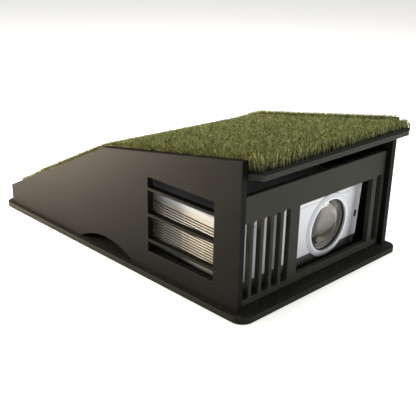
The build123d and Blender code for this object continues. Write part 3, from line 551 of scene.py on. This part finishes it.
def pile(name, node, body, strip, blade, material, is_ramp, seed):
    """One strip of a mat's pile: tufts of curled blades in stitched rows.

    Blades at the knee stay on their own mat's side. The outer rows bend out over the side panels' top edges.
    """
    slab = Slab(node)
    rng = np.random.default_rng(seed + 7 * strip)
    row, stitch, heading = stitched_roots(slab, strip, rng)
    count = len(row)
    height = blade_heights(slab, row, stitch, is_ramp, rng)
    lean = np.abs(rng.normal(blade_lean / mm, blade_lean_spread / mm, count)) * mm
    curl = rng.normal(0, blade_curl / mm, count) * mm
    droop = rng.uniform(0.4, 1.0, count)
    width = blade_width * rng.uniform(0.7, 1.2, count)
    tint = blade_tints(row, stitch, rng)

    panel_front = (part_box("side_panel_left")[0].y - slab.front.y) / slab.along[1]
    beside_panel = stitch > panel_front
    beside = np.clip(1 - (slab.half_width - np.abs(row)) / spill_rows, 0, 1) * beside_panel
    outward = np.sign(row) * beside * rng.uniform(0.35, 1.0, count) * spill
    lean = lean * (1 - 0.6 * beside)
    height = np.maximum(height, (slab.depth + rng.uniform(0.4, 1.6, count) * mm) * (beside > 0.4))

    shape, faces = blade
    t = shape[:, 2]
    side_x, side_y = np.cos(heading)[:, None], np.sin(heading)[:, None]
    reach = lean[:, None] * t ** 1.6
    sideways = shape[:, 0] * width[:, None] + curl[:, None] * np.sin(t * 4.0)
    across = row[:, None] + sideways * side_x - reach * side_y + outward[:, None] * t ** 3
    along = stitch[:, None] + sideways * side_y + reach * side_x
    rise = height[:, None] * t * (1 + droop[:, None] * (1 - t))

    may_spill = np.where(rise > slab.depth + spill_lift, spill, 0.0)
    free = np.where(beside_panel[:, None], may_spill, pile_overhang)
    across = np.clip(across, -slab.half_width - free, slab.half_width + free)
    hang = pile_overhang * np.clip(rise / (slab.depth - backing_thickness) - 0.4, 0, 1)
    low_end = knee_gap if is_ramp else -hang
    high_end = slab.length + hang if is_ramp else slab.length - knee_gap
    along = np.clip(along, low_end, high_end)

    root = np.array(slab.front - slab.up * (slab.depth - backing_thickness + root_sink))
    directions = np.array(((1.0, 0.0, 0.0), tuple(slab.along), tuple(slab.up)))
    places = root + np.stack((across, along, rise), axis=-1) @ directions
    step = len(shape)
    mesh = bpy.data.meshes.new(name)
    all_faces = [tuple(i * step + v for v in face) for i in range(count) for face in faces]
    mesh.from_pydata(places.reshape(-1, 3), [], all_faces)
    for attribute, values in (("tint", np.repeat(tint, step)), ("rise", np.tile(t, count))):
        mesh.attributes.new(attribute, "FLOAT", "POINT").data.foreach_set("value", values.astype(np.float32))
    piece = bpy.data.objects.new(name, mesh)
    bpy.context.collection.objects.link(piece)
    mesh.materials.append(material)
    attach(piece, body)
    return piece


def turf_mat(node, body, blade, finishes, is_ramp, seed):
    """A mat laid on its plate: the backing, and its pile in strips."""
    blades, woven = finishes
    backing = turf_backing(f"{node}_backing", node, body, woven)
    piles = [
        pile(f"{node}_pile_{strip + 1}", node, body, strip, blade, blades, is_ramp, seed)
        for strip in range(strips)
    ]
    slab = Slab(node)


# ---------------------------------------------------------------- lens details
def lens_details():
    """The grey bore, the second element and its polished rim, behind the front glass."""
    turn = Matrix((Vector((1, 0, 0)), lens_out.cross(Vector((1, 0, 0))), lens_out)).transposed().to_4x4()
    place = Matrix.Translation(lens_at) @ turn
    bore = [
        (glass_radius - 0.3 * mm, -9.5 * mm),
        (glass_radius - 0.3 * mm, -11.0 * mm),
        (43.5 * mm, -11.4 * mm),
        (43.0 * mm, -12.6 * mm),
        (40.0 * mm, -13.0 * mm),
        (39.6 * mm, -14.4 * mm),
        (37.2 * mm, -15.0 * mm),
        (inner_lens_radius + 0.4 * mm, -16.8 * mm),
        (inner_lens_radius + 0.4 * mm, -22.0 * mm),
    ]
    ring = turned("lens_bore", bore, bore_finish(), place)
    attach(ring, "enclosure")
    rim = [
        (inner_lens_radius, -17.6 * mm),
        (inner_lens_radius, -16.2 * mm),
        (inner_lens_radius - 0.7 * mm, -15.4 * mm),
        (inner_lens_radius - 1.3 * mm, -inner_lens_depth),
    ]
    polish = cast_finish("polished rim", (0.80, 0.78, 0.72), (0.9, 0.88, 0.84), 1.0)
    polished = turned("inner_lens_rim", rim, polish, place)
    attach(polished, "enclosure")
    dome_steps = 12
    angles = [i * pi / 2 / dome_steps for i in range(dome_steps + 1)]
    dome = [(inner_lens_radius * sin(a), inner_lens_bulge * cos(a) - inner_lens_depth) for a in angles]
    lens = turned("inner_lens", dome, inner_lens_finish(), place)
    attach(lens, "enclosure")


# ---------------------------------------------------------------- finishes on the nodes
def dress(material, *names):
    """Gives CAD nodes a finish."""
    for name in names:
        mesh = nodes[name].data
        mesh.materials.clear()
        mesh.materials.append(material)


def dress_frame():
    """Every CAD node's finish."""
    # One satin black plastic in three copies whose tones differ only as painted light and shade: the side
    # panels are painted darkest as shade, the cross panels lightest as light, the flat plates in between.
    side = sheet_finish("satin black side sheet in painted shade", 0, (0.0065, 0.0064, 0.0054), (0.0100, 0.0097, 0.0082))
    dress(side, "side_panel_left", "side_panel_right")
    cross = sheet_finish("satin black cross sheet in painted light", 1, (0.031, 0.031, 0.0255), (0.039, 0.038, 0.031))
    dress(cross, "front_panel", "tail_board", "knee_beam", "deck_plate")
    flat = sheet_finish("satin black flat sheet in painted half light", 2, (0.014, 0.014, 0.012), (0.019, 0.0185, 0.016))
    dress(flat, "base_plate", "ramp_plate")
    dress(strip_finish(), "deck_cleat_left", "deck_cleat_right", "ramp_cleat_left", "ramp_cleat_right",
          "deck_battens")
    dress(pad_finish(), "foot_pads")
    dress(screw_finish(), "base_screws", "angle_screws", "cleat_screws", "cover_screws")
    dress(angle_finish(), "corner_angles")
    white = cover_finish("gloss white cover", (0.62, 0.64, 0.69), (0.66, 0.68, 0.73), 0.24, 0.02 * mm)
    dress(white, "upper_cover", "front_bezel")
    dark, light = (0.060, 0.065, 0.062), (0.075, 0.080, 0.076)
    grey = cover_finish("dark grey textured cover", dark, light, 0.45, 0.08 * mm)
    dress(grey, "lower_cover", "rear_panel")
    # Painted shade: the grilles are the covers' white plastic, painted warmer and darker to stand in for the
    # dim, warm light that reaches them.
    grille_painted_shade = moulding_finish("white grille in painted warm shade", (0.60, 0.56, 0.48), (0.66, 0.62, 0.54), 0.42)
    dress(grille_painted_shade, "side_grille_left", "side_grille_right")
    ring = moulding_finish("satin white ring", (0.70, 0.72, 0.78), (0.76, 0.78, 0.84), 0.30)
    dress(ring, "lens_trim_ring", "focus_ring")
    black = moulding_finish("matt black moulding", (0.012, 0.012, 0.012), (0.020, 0.020, 0.020))
    dress(black, "lens_barrel", "zoom_ring", "intake_fan_frame", "intake_fan_rotor", "exhaust_fan_frame",
          "exhaust_fan_rotor", "speaker", "power_inlet", "signal_sockets", "power_supply")
    dress(glass_finish("coated front glass", (0.93, 0.90, 0.84)), "front_lens")
    dress(glass_finish("rear lens glass", (0.85, 0.90, 0.92)), "rear_lens_group")
    smoke = moulding_finish("smoked receiver window", (0.045, 0.035, 0.050), (0.060, 0.045, 0.065), 0.12)
    dress(smoke, "ir_window")
    rubber = moulding_finish("black rubber foot", (0.020, 0.020, 0.020), (0.030, 0.030, 0.029), 0.7)
    dress(rubber, "front_feet", "rear_foot_left", "rear_foot_right")
    dress(board_finish(), "main_board", "keypad_board")
    cast = cast_finish("cast magnesium", (0.20, 0.20, 0.205), (0.30, 0.30, 0.30), 0.85)
    dress(cast, "optical_block", "laser_module", "wheel_motor")
    sink = cast_finish("extruded aluminium", (0.50, 0.50, 0.51), (0.64, 0.64, 0.64), 1.0)
    dress(sink, "heat_sink", "imaging_chip")
    dress(wheel_finish(), "colour_wheel")
    keys = moulding_finish("satin grey key", (0.30, 0.31, 0.33), (0.36, 0.37, 0.39), 0.35)
    dress(keys, "power_button", "menu_button", "up_button", "down_button", "left_button", "right_button")


# ---------------------------------------------------------------- floor, light and camera
def studio():
    """A pale floor and three soft lamps. The surroundings look white, and light the object more dimly."""
    start_piece()
    bpy.ops.mesh.primitive_plane_add(size=60.0)
    glow = (1.0, 0.99, 0.96, 1.0)
    f = Finish("pale floor", Specular_IOR_Level=0.1, Emission_Color=glow, Emission_Strength=0.5)
    cloud = f.noise(3.0, 2.0)
    colour = f.ramp(cloud, (0.0, (0.90, 0.89, 0.87)), (1.0, (0.93, 0.92, 0.90)))
    floor = made("floor", f.feed(Base_Color=colour, Roughness=0.9 + cloud * 0.05))

    world = bpy.data.worlds.new("studio")
    bpy.context.scene.world = world
    world.use_nodes = True
    background = world.node_tree.nodes["Background"]
    background.inputs["Color"].default_value = (1.0, 1.0, 1.0, 1.0)
    seen = world.node_tree.nodes.new("ShaderNodeLightPath")
    strength = world.node_tree.nodes.new("ShaderNodeMapRange")
    strength.inputs["To Min"].default_value = 0.25
    strength.inputs["To Max"].default_value = 1.05
    world.node_tree.links.new(seen.outputs["Is Camera Ray"], strength.inputs["Value"])
    world.node_tree.links.new(strength.outputs["Result"], background.inputs["Strength"])

    for name, place, aim, width, watts, colour in (
        ("front soft box", (1.3, -1.9, 0.35), (0.0, -0.3, 0.1), 1.0, 26.0, (1.0, 0.99, 0.95)),
        ("tail soft box", (-0.62, 0.72, 0.10), (-0.2, 0.30, 0.04), 0.4, 28.0, (1.0, 0.87, 0.66)),
        ("top soft box", (0.3, 0.2, 3.0), (0.0, 0.0, 0.1), 2.6, 95.0, (1.0, 1.0, 0.98)),
    ):
        data = bpy.data.lights.new(name, "AREA")
        data.shape = "DISK"
        data.size = width
        data.energy = watts
        data.color = colour
        light = bpy.data.objects.new(name, data)
        bpy.context.collection.objects.link(light)
        light.location = place
        light.rotation_euler = (Vector(place) - Vector(aim)).to_track_quat("Z", "Y").to_euler()


def camera():
    """The main view, down over the left front corner, with a slight roll."""
    eye = Vector((-0.9070, -0.9623, 0.5506))
    yaw, pitch, roll = radians(44.774), radians(21.140), radians(1.2875)
    data = bpy.data.cameras.new("camera")
    data.lens = 62.83
    data.sensor_width = 36.0
    view = bpy.data.objects.new("camera", data)
    bpy.context.collection.objects.link(view)
    view.matrix_world = (
        Matrix.Translation(eye)
        @ Matrix.Rotation(-yaw, 4, "Z")
        @ Matrix.Rotation(radians(90) - pitch, 4, "X")
        @ Matrix.Rotation(roll, 4, "Z")
    )
    bpy.context.scene.camera = view
    bpy.context.scene.view_settings.view_transform = "Standard"


dress_frame()
blade = blade_shape()
turf = (turf_finish(), backing_finish())
turf_mat("deck_turf", "lid", blade, turf, is_ramp=False, seed=3)
turf_mat("ramp_turf", "enclosure", blade, turf, is_ramp=True, seed=90)
lens_details()
studio()
camera()
